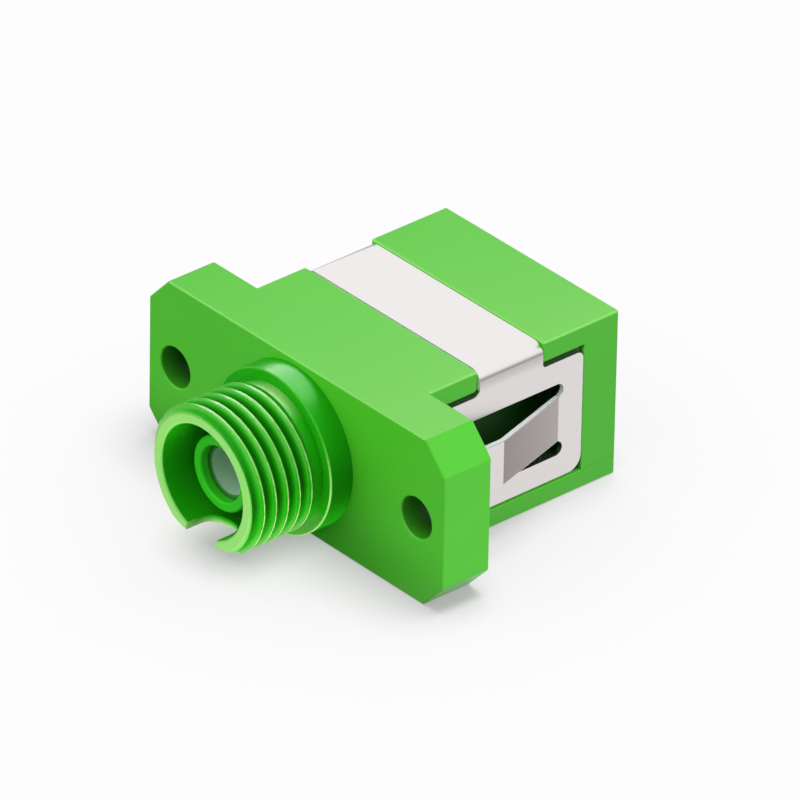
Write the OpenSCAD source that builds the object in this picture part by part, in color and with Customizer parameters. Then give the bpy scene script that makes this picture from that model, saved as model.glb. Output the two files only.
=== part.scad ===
// Hybrid fibre optic adapter for a patch panel, in millimetres.
// A threaded FC socket stands in front of a two-hole flange, and a push-in SC socket
// stands behind it. A split ceramic sleeve lines the two plugs' ferrules up, and a folded
// spring clip holds the adapter in a panel cut-out.
// The origin is the middle of the flange's back plane, the face that meets the panel.
// +X runs along the flange, +Y points out of the SC socket, and +Z is up.

/* [Flange] */
// Width of the flange, end to end
flange_w = 22; // [21:0.5:26]
// Height of the flange and of the housing
flange_h = 9.3; // [9.2:0.05:10]
// Thickness of the flange
flange_t = 3; // [2.8:0.1:3.6]
// Length of each corner chamfer along the flange
corner_x = 1.4; // [0.5:0.1:1.8]
// Height of each corner chamfer
corner_z = 1.5; // [0.5:0.1:2.4]
// Distance from each screw hole's centre to the flange's end
hole_inset = 2; // [1.8:0.1:2.8]
// Diameter of a screw hole
hole_d = 2.2; // [1.8:0.1:2.5]

/* [Housing] */
// Width of the housing behind the flange
body_w = 12.8; // [12.6:0.1:13.6]
// Length of the housing behind the flange
body_l = 12.25; // [11.8:0.05:14]
// Length of the front block, up to the seam between the two housings
front_l = 3.1; // [2.8:0.1:3.4]
// Height of the recess in each side, which the clip's plates lie in
recess_h = 7.14; // [6.9:0.02:7.2]
// How far the middle of the recess, and of the clip's plates, lies below the axis
recess_drop = 0.07; // [0:0.01:0.12]
// Distance from the flange to the rear end of that recess
recess_l = 10.03; // [9.8:0.01:10.4]
// How far the rear column lies below the rails on each side
column_step = 0.03; // [0.01:0.01:0.1]
// Radius of the housing's long edges
edge_r = 0.15; // [0.05:0.05:0.3]
// Radius of the saddle's edges under the clip's bends
saddle_r = 0.6; // [0.5:0.05:0.8]
// Chamfer on the rear corners of the front block's rails
rail_chamfer = 0.15; // [0.1:0.05:0.3]
// Height of the window behind each tongue, which the latch arms flex into
window_h = 4.4; // [4.2:0.1:4.8]
// Distance from the flange to the front end of that window
window_start = 0.9; // [0.6:0.1:1.4]
// Distance from the flange to the rear end of that window
window_end = 9.6; // [9.4:0.05:9.7]

/* [SC socket] */
// Width of the SC socket
sc_w = 9.1; // [9:0.05:9.3]
// Height of the SC socket
sc_h = 7.5; // [7.4:0.05:7.6]
// Chamfer around the SC socket's mouth
sc_lead = 0.3; // [0.1:0.05:0.5]
// Width of the SC key slot in the bottom wall
sc_key_w = 2.4; // [2:0.1:3]
// Length of the SC key slot
sc_key_l = 4.9; // [3:0.1:5.5]
// Wall of the rear housing's spigot at its sides
spigot_side_wall = 0.6; // [0.5:0.05:0.7]
// Wall of the rear housing's spigot above and below
spigot_top_wall = 0.4; // [0.3:0.05:0.45]

/* [FC socket] */
// Length of the barrel in front of the flange
barrel_l = 5.9; // [5.6:0.05:7]
// Bore of the barrel
barrel_bore_d = 6; // [5.8:0.1:6.4]
// Outer diameter of the thread's land
thread_d = 7.84; // [7.7:0.02:8]
// Pitch of the thread, drawn as a row of rings
thread_pitch = 0.75; // [0.5:0.05:1]
// Depth of the thread
thread_depth = 0.4; // [0.2:0.02:0.42]
// Diameter of the thread's runout groove
neck_d = 7.5; // [7.2:0.1:7.6]
// Length of the runout groove
neck_l = 0.6; // [0.4:0.1:1]
// Diameter of the collar at the barrel's foot
collar_d = 8.7; // [8.3:0.1:9]
// Length of the collar
collar_l = 1.4; // [1:0.1:1.6]
// Chamfer on the collar's front edge
collar_chamfer = 0.25; // [0.1:0.05:0.4]
// Length of the slope from the thread's land to the rim
rim_chamfer_l = 0.35; // [0.1:0.05:0.4]
// Drop of that slope towards the axis
rim_chamfer_r = 0.35; // [0.1:0.05:0.4]
// Chamfer on the barrel's mouth
mouth_chamfer = 0.15; // [0.05:0.05:0.2]
// Distance from the flange's front face forward to the floor of the barrel's bore
floor_rise = 0.6; // [0.4:0.1:0.9]
// Thickness of the floor
floor_t = 1; // [0.8:0.1:1.2]
// Width of the FC key slot in the bottom of the rim
fc_key_w = 2.2; // [1.8:0.1:2.4]
// Depth of the FC key slot from the rim
fc_key_l = 2; // [1.4:0.1:2.8]

/* [Sleeve and holders] */
// Outer diameter of the ceramic sleeve
sleeve_d = 3.2; // [3.1:0.05:3.3]
// Bore of the ceramic sleeve
sleeve_bore_d = 2.5; // [2.4:0.05:2.6]
// Length of the ceramic sleeve
sleeve_l = 11.4; // [11:0.1:11.6]
// Width of the sleeve's slit
slit_w = 0.45; // [0.2:0.05:0.8]
// Outer diameter of the holder's tube in the FC socket
fc_tube_d = 4; // [3.9:0.05:4.2]
// Outer diameter of the holder's tube in the SC socket
sc_tube_d = 4.4; // [4.1:0.05:4.6]
// Opening in the lip of each tube
lip_d = 2.9; // [2.7:0.05:3]
// Thickness of each lip
lip_t = 0.5; // [0.4:0.05:0.7]
// Chamfer on the outer edge of each lip
lip_chamfer = 0.15; // [0.05:0.05:0.2]
// Thickness of each holder's base plate
plate_t = 1.1; // [1:0.05:1.2]

/* [Latch arms] */
// Length of each latch arm behind its base plate
arm_l = 10.3; // [8.6:0.1:10.6]
// Thickness of each latch arm
arm_t = 0.7; // [0.6:0.05:0.8]
// Height of each latch arm
arm_h = 3.5; // [3:0.1:3.8]
// Gap between each arm and the socket's side wall
arm_gap = 0.25; // [0.15:0.05:0.4]
// How far each hook reaches inwards from its arm
hook_depth = 0.6; // [0.4:0.05:0.7]
// Length of each hook along its arm
hook_l = 1.2; // [0.9:0.1:1.5]
// Radius of the fillet at each arm's root
arm_fillet = 0.4; // [0.2:0.1:0.6]

/* [Panel clip] */
// Thickness of the clip's sheet
clip_t = 0.3; // [0.25:0.01:0.32]
// Height that the side plates stand proud of the rails
clip_proud = 0.07; // [0.02:0.01:0.12]
// Depth of the strap below the housing's top
strap_drop = 0.05; // [0:0.01:0.1]
// Width of the strap over the top, along the housing
strap_l = 4.1; // [3.8:0.05:4.3]
// Gap between the front block and the strap
strap_front_gap = 0.1; // [0.05:0.05:0.2]
// Gap between the strap and the rear block
strap_rear_gap = 0.05; // [0.03:0.01:0.1]
// Inner radius of the bends
bend_r = 0.4; // [0.3:0.05:0.5]
// Gap from the flange to the side plates' front edge
plate_front_gap = 0.3; // [0.1:0.1:0.6]
// Gap between the plates' rear edge and the end of the recess
plate_rear_gap = 0.1; // [0.06:0.02:0.16]
// Gap above and below the plates inside the recess
plate_side_gap = 0.23; // [0.1:0.01:0.3]
// Radius of the plates' upper rear corners and both front corners
plate_corner_r = 0.4; // [0.2:0.1:0.6]
// Radius of the plates' lower rear corners
plate_heel_r = 0.8; // [0.5:0.1:1]
// Radius of the fillet between the strap's front edge and the plate
front_fillet_r = 0.35; // [0.2:0.05:0.5]
// Radius of the fillet between the strap's rear edge and the plate
rear_fillet_r = 0.2; // [0.1:0.05:0.25]
// Width of each tongue
tongue_w = 2.5; // [2.3:0.1:2.7]
// Width of the cut around each tongue
tongue_cut = 0.78; // [0.5:0.02:0.8]
// Distance from the flange to the rear end of those cuts
cut_end = 8.66; // [8.4:0.02:8.8]
// Distance from the end of the cuts to the tongue's root bend
root_setback = 0.22; // [0.15:0.01:0.4]
// Length of the slanted run of each tongue, along the housing
tongue_run = 4.85; // [4.4:0.05:5]
// Height that each tongue rises from its plate
tongue_rise = 1.35; // [1:0.05:1.5]
// Inner radius of the tongues' bends
tongue_bend_r = 0.3; // [0.2:0.05:0.5]
// Thickness of the panel held between the flange and the tongues' ends
panel_t = 1.6; // [1:0.1:2]

/* [Hidden] */
$fn = 64;
// Overrun of every cut past the face that it opens
cut = 0.5;
// Clearance of a piece that is pressed or slid into another
fit = 0.05;
// Free length of the sleeve between the two lips, at each end
sleeve_float = 0.05;

green = [0.32, 0.72, 0.22];
steel = [0.86, 0.83, 0.82];
ceramic = [0.93, 0.92, 0.88];
moulded = [0.25, 0.6, 0.18];

// Places along the axis, from the FC side to the SC side
flange_front = -flange_t;
optical_plane = -flange_t / 2;
barrel_rim = flange_front - barrel_l;
floor_front = flange_front - floor_rise;
pocket_front = floor_front + floor_t;
fc_plate_front = pocket_front;
sc_plate_front = fc_plate_front + plate_t;
sc_plate_back = sc_plate_front + plate_t;
sleeve_room = sleeve_l / 2 + sleeve_float;
fc_tube_end = optical_plane - sleeve_room - lip_t;
sc_tube_end = optical_plane + sleeve_room + lip_t;
strap_front = front_l + strap_front_gap;
strap_back = strap_front + strap_l;
rear_block_front = strap_back + strap_rear_gap;
plate_back = recess_l - plate_rear_gap;
cut_front = panel_t - tongue_cut;
tongue_root = cut_end - root_setback;

// The thread's land along the axis, and the shares of a pitch that its grooves open and end on
neck_start = flange_front - collar_l - neck_l;
land_start = barrel_rim + rim_chamfer_l;
land_end = neck_start - (thread_d - neck_d) / 2;
groove_share = 0.74;
root_share = 0.16;

// Sections across the axis
top_z = flange_h / 2;
clip_x = body_w / 2 + clip_proud;
seat_x = clip_x - clip_t;
strap_z = top_z - strap_drop;
seat_z = strap_z - clip_t;
recess_low = -recess_drop - recess_h / 2;
recess_high = recess_low + recess_h;
plate_low = recess_low + plate_side_gap;
plate_top = recess_high - plate_side_gap;
spigot_w = sc_w + 2 * spigot_side_wall;
spigot_h = sc_h + 2 * spigot_top_wall;
pocket_w = spigot_w + 2 * fit;
pocket_h = spigot_h + 2 * fit;
sleeve_seat_d = sleeve_d + 2 * fit;
arm_x = sc_w / 2 - arm_gap;
// Slope at which a straight run of sheet touches both of the tongue's bends
bends_r = 2 * tongue_bend_r + clip_t;
tongue_angle = asin(bends_r / norm([tongue_run, bends_r - tongue_rise]))
    - atan2(bends_r - tongue_rise, tongue_run);

// Points along an arc, from one angle to the other
function arc(centre, r, from, to, steps = 6) =
    [for (i = [0:steps]) let (a = from + (to - from) * i / steps) centre + r * [cos(a), sin(a)]];

// A profile drawn in X and Z, run along Y
module along_y(start, end)
    translate([0, end, 0]) rotate([90, 0, 0]) linear_extrude(end - start) children();

// A profile drawn in Y and Z, run along X
module along_x(start, end)
    translate([start, 0, 0]) rotate([90, 0, 90]) linear_extrude(end - start) children();

// A profile drawn in X and Y, run up Z
module along_z(start, end)
    translate([0, 0, start]) linear_extrude(end - start) children();

// A profile of radius and length, turned about the Y axis, with length counted towards +Y
module turned() rotate([-90, 0, 0]) rotate_extrude() children();

// A round bar or bore on the Y axis
module round_y(d, start, end)
    translate([0, start, 0]) rotate([-90, 0, 0]) cylinder(d = d, h = end - start);

module both_sides() {
    children();
    mirror([1, 0, 0]) children();
}

module rounded_rect(w, h, r) {
    square([w - 2 * r, h], center = true);
    square([w, h - 2 * r], center = true);
    for (x = [-1, 1], z = [-1, 1])
        translate([x * (w / 2 - r), z * (h / 2 - r)]) circle(r);
}

// The sliver that rounds a corner at the origin whose material lies below and behind it
module corner_sliver(r)
    difference() {
        translate([-r, -r]) square(r + cut);
        translate([-r, -r]) circle(r);
    }

// The web that fills a corner at the origin whose open side lies above and ahead of it
module corner_web(r)
    difference() {
        square(r);
        translate([r, r]) circle(r);
    }

// A slab with two rounded upper corners
module arch(half_w, bottom, top, r) {
    translate([-half_w, bottom]) square([2 * half_w, top - r - bottom]);
    translate([r - half_w, bottom]) square([2 * (half_w - r), top - bottom]);
    for (x = [-1, 1]) translate([x * (half_w - r), top - r]) circle(r);
}

// The housing's section, with both sides cut back to half_w between the rails
module body_section(half_w)
    difference() {
        rounded_rect(body_w, flange_h, edge_r);
        both_sides() translate([half_w, recess_low]) square([body_w, recess_h]);
    }

// The housing's section under the strap, where the clip wraps over it
module saddle_section() {
    intersection() {
        rounded_rect(body_w, flange_h, edge_r);
        translate([-body_w / 2, -top_z]) square([body_w, recess_low + top_z]);
    }
    arch(seat_x, recess_low - edge_r, seat_z, saddle_r);
}

module flange_plate()
    along_y(flange_front, 0) {
        x = flange_w / 2;
        z = flange_h / 2;
        polygon([
            [-x, corner_z - z], [corner_x - x, -z], [x - corner_x, -z], [x, corner_z - z],
            [x, z - corner_z], [x - corner_x, z], [corner_x - x, z], [-x, z - corner_z]
        ]);
    }

// Collar, runout groove and threaded land, turned in one profile
module barrel()
    turned() {
        land = thread_d / 2;
        neck = neck_d / 2;
        polygon([
            [0, barrel_rim], [land - rim_chamfer_r, barrel_rim], [land, land_start],
            [land, land_end], [neck, neck_start], [neck, flange_front - collar_l],
            [collar_d / 2 - collar_chamfer, flange_front - collar_l],
            [collar_d / 2, flange_front - collar_l + collar_chamfer],
            [collar_d / 2, flange_front + floor_t], [0, flange_front + floor_t]
        ]);
    }

// The thread's grooves, as many as the land takes, centred on it
module thread_grooves()
    turned() {
        land = thread_d / 2;
        count = floor((land_end - land_start) / thread_pitch);
        middle = (land_start + land_end) / 2;
        groove = groove_share * thread_pitch / 2;
        root = root_share * thread_pitch / 2;
        flare = groove + (groove - root) * cut / thread_depth;
        for (i = [0:count - 1]) translate([0, middle + (i - (count - 1) / 2) * thread_pitch])
            polygon([
                [land + cut, -flare], [land - thread_depth, -root],
                [land - thread_depth, root], [land + cut, flare]
            ]);
    }

module barrel_bore()
    turned() {
        bore = barrel_bore_d / 2;
        mouth = bore + mouth_chamfer;
        polygon([
            [0, barrel_rim - cut], [mouth, barrel_rim - cut], [mouth, barrel_rim],
            [bore, barrel_rim + mouth_chamfer], [bore, floor_front], [0, floor_front]
        ]);
    }

// A slot with a round inner end, through the bottom of the barrel's wall
module fc_key_slot()
    along_z(-thread_d / 2 - cut, 0) {
        end = barrel_rim + fc_key_l - fc_key_w / 2;
        translate([0, end]) circle(d = fc_key_w);
        translate([-fc_key_w / 2, barrel_rim - cut])
            square([fc_key_w, end - barrel_rim + cut]);
    }

// The latch arms' windows, from the clip's recess into the socket
module side_windows()
    along_x(-body_w, body_w)
        translate([(window_start + window_end) / 2, 0])
            rounded_rect(window_end - window_start, window_h, edge_r);

// Chamfers on the rear end of the front block's rails, clear of the clip's fillets
module rail_chamfers()
    both_sides() along_x(seat_x, body_w) {
        for (z = [recess_low, recess_high]) translate([front_l, z])
            rotate(45) square(rail_chamfer * sqrt(2), center = true);
        translate([front_l, top_z]) rotate(45) square(rail_chamfer, center = true);
    }

module front_housing()
    color(green) difference() {
        union() {
            flange_plate();
            along_y(-flange_t / 2, front_l) body_section(seat_x);
            barrel();
        }
        thread_grooves();
        barrel_bore();
        fc_key_slot();
        both_sides() translate([flange_w / 2 - hole_inset, 0, 0])
            round_y(hole_d, flange_front - cut, cut);
        round_y(fc_tube_d + 2 * fit, floor_front - cut, pocket_front + cut);
        along_y(pocket_front, front_l + cut) square([pocket_w, pocket_h], center = true);
        side_windows();
        rail_chamfers();
    }

// A block whose section grows towards the mouth, as a four-sided lead-in
module mouth_lead_in() {
    far = body_l + cut;
    near = body_l - sc_lead;
    grow = far - near;
    intersection() {
        along_z(-body_w, body_w) polygon([
            [-sc_w / 2, near], [sc_w / 2, near], [sc_w / 2 + grow, far], [-sc_w / 2 - grow, far]
        ]);
        along_x(-body_w, body_w) polygon([
            [near, -sc_h / 2], [near, sc_h / 2], [far, sc_h / 2 + grow], [far, -sc_h / 2 - grow]
        ]);
    }
}

module rear_housing()
    color(green) difference() {
        union() {
            along_y(sc_plate_back, front_l + cut) square([spigot_w, spigot_h], center = true);
            along_y(front_l, rear_block_front) saddle_section();
            along_y(rear_block_front, recess_l) body_section(seat_x);
            along_y(recess_l, body_l) body_section(body_w / 2 - column_step);
        }
        along_y(sc_plate_back - cut, body_l + cut) square([sc_w, sc_h], center = true);
        along_y(body_l - sc_key_l, body_l + cut)
            translate([-sc_key_w / 2, -flange_h]) square([sc_key_w, flange_h]);
        mouth_lead_in();
        side_windows();
    }

// A tube on the axis with a chamfered lip, drawn towards +Y from the optical plane
module lipped_tube(d)
    difference() {
        turned() polygon([
            [0, 0], [d / 2, 0], [d / 2, sleeve_room + lip_t - lip_chamfer],
            [d / 2 - lip_chamfer, sleeve_room + lip_t], [0, sleeve_room + lip_t]
        ]);
        round_y(lip_d, sleeve_room - cut, sleeve_room + lip_t + cut);
    }

module base_plate(start)
    along_y(start, start + plate_t) rounded_rect(spigot_w, spigot_h, edge_r);

module sleeve_seat(start, end) round_y(sleeve_seat_d, start, end);

module fc_sleeve_holder()
    color(moulded) difference() {
        union() {
            base_plate(fc_plate_front);
            translate([0, optical_plane, 0]) mirror([0, 1, 0]) lipped_tube(fc_tube_d);
        }
        sleeve_seat(optical_plane - sleeve_room, optical_plane + cut);
    }

// One latch arm, with a ramp in front of its hook and a fillet at its root
module latch_arm()
    along_z(-arm_h / 2, arm_h / 2) {
        inner = arm_x - arm_t;
        tip = sc_plate_back + arm_l;
        nose = inner - hook_depth;
        polygon([
            [arm_x, sc_plate_back - plate_t / 2], [arm_x, tip], [inner, tip],
            [nose, tip - hook_l / 2], [nose, tip - hook_l], [inner, tip - hook_l],
            [inner, sc_plate_back - plate_t / 2]
        ]);
        translate([inner, sc_plate_back]) mirror([1, 0]) corner_web(arm_fillet);
    }

module sc_latch_insert()
    color(moulded) difference() {
        union() {
            base_plate(sc_plate_front);
            translate([0, optical_plane, 0]) lipped_tube(sc_tube_d);
            both_sides() latch_arm();
        }
        sleeve_seat(optical_plane - cut, optical_plane + sleeve_room);
    }

module split_sleeve()
    color(ceramic) difference() {
        round_y(sleeve_d, optical_plane - sleeve_l / 2, optical_plane + sleeve_l / 2);
        round_y(sleeve_bore_d, optical_plane - sleeve_l, optical_plane + sleeve_l);
        along_y(optical_plane - sleeve_l, optical_plane + sleeve_l)
            translate([-slit_w / 2, 0]) square([slit_w, sleeve_d]);
    }

// The folded sheet across the axis: strap, two bends and two plates
module clip_section()
    difference() {
        arch(clip_x, plate_low, strap_z, bend_r + clip_t);
        arch(seat_x, plate_low - cut, seat_z, bend_r);
    }

// The sheet's outline from the side: plate, strap and the fillets between them
module clip_outline() {
    plate_l = plate_back - plate_front_gap;
    difference() {
        translate([plate_front_gap, plate_low]) square([plate_l, plate_top - plate_low]);
        translate([plate_front_gap, plate_top]) mirror([1, 0]) corner_sliver(plate_corner_r);
        translate([plate_front_gap, plate_low]) rotate(180) corner_sliver(plate_corner_r);
        translate([plate_back, plate_top]) corner_sliver(plate_corner_r);
        translate([plate_back, plate_low]) mirror([0, 1]) corner_sliver(plate_heel_r);
    }
    translate([strap_front, 0]) square([strap_l, top_z]);
    translate([strap_front, plate_top]) mirror([1, 0]) corner_web(front_fillet_r);
    translate([strap_back, plate_top]) corner_web(rear_fillet_r);
}

// The cut that frees each tongue: two slots with round ends, joined ahead of its tip
module tongue_cuts()
    translate([0, -recess_drop]) {
        r = tongue_cut / 2;
        slot_z = tongue_w / 2 + r;
        for (z = [-slot_z, slot_z]) {
            translate([cut_end - r, z]) circle(r);
            translate([cut_front + r, z]) circle(r);
            translate([cut_front + r, z - r]) square([cut_end - cut_front - 2 * r, 2 * r]);
        }
        translate([cut_front, -slot_z]) square([tongue_root - cut_front, 2 * slot_z]);
    }

// The tongue of the right-hand plate, in plan: a root that laps the plate, a bend out, a
// slanted run that touches both bends, a bend back and a tip that ends at the panel
module tongue()
    along_z(-recess_drop - tongue_w / 2, tongue_w / 2 - recess_drop) {
        outside = tongue_bend_r + clip_t;
        root = [clip_x + tongue_bend_r, tongue_root];
        kink = [clip_x + tongue_rise - outside, tongue_root - tongue_run];
        polygon(concat(
            [[clip_x, cut_end]],
            arc(root, tongue_bend_r, 180, 180 + tongue_angle),
            arc(kink, outside, tongue_angle, 0),
            [[kink.x + outside, panel_t], [kink.x + tongue_bend_r, panel_t]],
            arc(kink, tongue_bend_r, 0, tongue_angle),
            arc(root, outside, 180 + tongue_angle, 180),
            [[seat_x, cut_end]]
        ));
    }

module panel_clip()
    color(steel) {
        intersection() {
            along_y(plate_front_gap - cut, plate_back + cut) clip_section();
            along_x(-body_w, body_w) difference() {
                clip_outline();
                tongue_cuts();
            }
        }
        both_sides() tongue();
    }

front_housing();
rear_housing();
fc_sleeve_holder();
sc_latch_insert();
split_sleeve();
panel_clip();
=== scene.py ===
"""Dresses the hybrid fibre optic adapter for its studio picture.

The solids arrive in the shared frame, in metres: the origin is the middle of the flange's
back plane, +X runs along the flange, +Y points out of the SC socket, and +Z is up. Each
sub-assembly below is a class whose sizes are in millimetres, read from the solids' boxes
where the solids give them. It models its pieces with finer edges, threads and bends than
the solids have, and dresses them in a procedural finish.
"""

import logging
import math
from dataclasses import dataclass
from enum import Enum
from typing import Callable, Iterable, Sequence

import bmesh
import bpy
from mathutils import Matrix, Vector, noise


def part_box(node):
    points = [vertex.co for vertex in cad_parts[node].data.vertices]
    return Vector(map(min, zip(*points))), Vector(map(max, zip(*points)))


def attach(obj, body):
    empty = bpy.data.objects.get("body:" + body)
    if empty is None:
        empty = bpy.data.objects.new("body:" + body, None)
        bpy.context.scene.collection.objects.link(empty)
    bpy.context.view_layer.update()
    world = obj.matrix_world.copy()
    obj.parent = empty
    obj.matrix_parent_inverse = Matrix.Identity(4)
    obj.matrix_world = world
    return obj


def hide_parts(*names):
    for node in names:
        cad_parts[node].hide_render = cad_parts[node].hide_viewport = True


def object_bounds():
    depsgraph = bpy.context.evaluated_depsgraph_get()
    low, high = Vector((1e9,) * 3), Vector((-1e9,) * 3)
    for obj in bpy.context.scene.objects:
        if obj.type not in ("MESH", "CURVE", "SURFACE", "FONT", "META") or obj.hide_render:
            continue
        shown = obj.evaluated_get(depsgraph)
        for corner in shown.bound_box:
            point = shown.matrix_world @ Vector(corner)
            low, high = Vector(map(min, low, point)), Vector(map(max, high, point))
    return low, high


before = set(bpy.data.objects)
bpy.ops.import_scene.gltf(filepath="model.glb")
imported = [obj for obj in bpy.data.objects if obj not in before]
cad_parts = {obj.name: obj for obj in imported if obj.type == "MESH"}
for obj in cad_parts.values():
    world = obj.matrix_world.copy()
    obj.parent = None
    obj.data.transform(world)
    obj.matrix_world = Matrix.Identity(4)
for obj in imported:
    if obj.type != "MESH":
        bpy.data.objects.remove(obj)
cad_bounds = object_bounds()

MM = 0.001
# Name of the stored attribute that holds painted shade, above zero, and painted highlights, below
# zero, for each face corner.
TONE = "tone"
REACH = 8.0  # How far a cut reaches from the middle, past every wall.
NEAR = 0.01  # How close two places count as the same.
log = logging.getLogger("adapter")

Point = tuple[float, float]
Corner = tuple[float, float, float]
Colour = tuple[float, float, float]


class Axis(Enum):
    """The axis that a flat outline is run along, after the two that it is drawn in."""

    X = (1, 2, 0)
    Y = (0, 2, 1)
    Z = (0, 1, 2)


class Join(Enum):
    """How one solid is put together with another."""

    ADD = "UNION"
    CUT = "DIFFERENCE"
    KEEP_COMMON = "INTERSECT"


class Slot(Enum):
    """The record's material slots."""

    GREEN = "green_plastic"
    INNER = "inner_plastic"
    STEEL = "spring_steel"
    CERAMIC = "ceramic"


def arc(centre: Point, radius: float, start: float, end: float, steps: int = 8) -> list[Point]:
    """Gives the points along an arc.

    Args:
        centre: The arc's centre.
        radius: Its radius.
        start: Angle of the first point, in degrees.
        end: Angle of the last point, in degrees.
        steps: Number of chords.

    Returns:
        The points, both ends included.
    """
    angles = [math.radians(start + (end - start) * i / steps) for i in range(steps + 1)]
    return [(centre[0] + radius * math.cos(a), centre[1] + radius * math.sin(a)) for a in angles]


def rounded(corners: Sequence[Corner], steps: int = 6) -> list[Point]:
    """Rounds the corners of a closed outline.

    Args:
        corners: Each corner's place and the radius that rounds it, zero to leave it sharp.
        steps: Number of chords in each rounding.

    Returns:
        The outline's points, in the corners' order.
    """
    points: list[Point] = []
    for i, (x, y, radius) in enumerate(corners):
        here = Vector((x, y))
        before = (Vector(corners[i - 1][:2]) - here).normalized()
        after = (Vector(corners[(i + 1) % len(corners)][:2]) - here).normalized()
        half = before.angle(after) / 2
        if radius == 0 or math.isclose(half, math.pi / 2):
            points.append((x, y))
            continue
        centre = here + (before + after).normalized() * (radius / math.sin(half))
        first = here + before * (radius / math.tan(half)) - centre
        last = here + after * (radius / math.tan(half)) - centre
        for step in range(steps + 1):
            spoke = first.normalized().slerp(last.normalized(), step / steps) * radius
            points.append((centre.x + spoke.x, centre.y + spoke.y))
    return points


def rectangle(width: float, height: float, radius: float = 0.0) -> list[Point]:
    """Gives a centred rectangle's outline, with rounded corners where it has a radius."""
    x, y = width / 2, height / 2
    return rounded([(-x, -y, radius), (x, -y, radius), (x, y, radius), (-x, y, radius)])


def within(place: Vector, size: Point, margin: float) -> bool:
    """Tells whether a place lies in a centred rectangle of X and Z, grown by a margin."""
    return all(abs(v) < s / 2 + margin for v, s in zip((place.x, place.z), size))


def linked(name: str, data: bpy.types.ID) -> bpy.types.Object:
    """Puts a mesh, a lamp or a camera into the scene as a new object."""
    thing = bpy.data.objects.new(name, data)
    bpy.context.scene.collection.objects.link(thing)
    return thing


def smooth_step(share: float) -> float:
    """Eases a share from 0 to 1, and keeps it there outside that range."""
    held = min(max(share, 0.0), 1.0)
    return held * held * (3 - 2 * held)


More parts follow.
